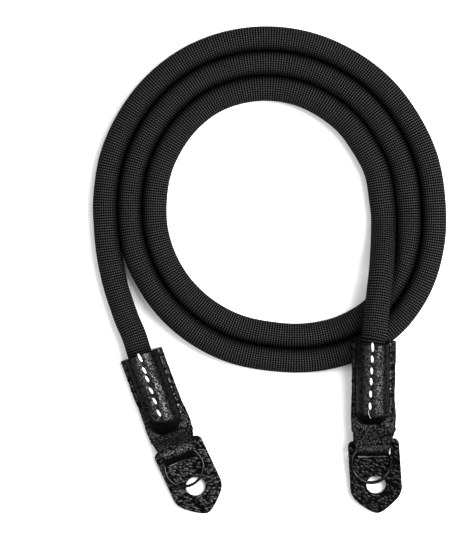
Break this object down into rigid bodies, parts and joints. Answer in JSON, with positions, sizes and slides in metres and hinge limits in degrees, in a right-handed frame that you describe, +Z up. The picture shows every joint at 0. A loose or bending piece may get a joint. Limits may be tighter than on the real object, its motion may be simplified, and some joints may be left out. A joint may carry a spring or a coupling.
{
  "type": "coiled rope camera strap",
  "caption": "Coiled round rope strap for a camera, with a moulded leather sleeve, a split ring and a pointed leather protector tab at each end.",
  "frame": {"origin": "on the surface that the coiled strap lies on, below the middle of its overall box", "axes": "+Z up from that surface, +Y from the two leather ends towards the far side of the coil, +X to the right with the leather ends nearest"},
  "size_m": [0.1438, 0.1993, 0.0239],
  "materials": {
    "rope": "near-black braided nylon, satin yarns in a fine plain braid",
    "leather": "black pebbled leather, semi-gloss on the grain's crowns",
    "ring": "dark polished nickel plate",
    "thread": "thick white waxed thread"
  },
  "bodies": {
    "root": {"rope": "rope", "left_sleeve": "leather", "right_sleeve": "leather", "left_tab": "leather", "right_tab": "leather", "left_ring": "ring", "right_ring": "ring"}
  },
  "joints": []
}
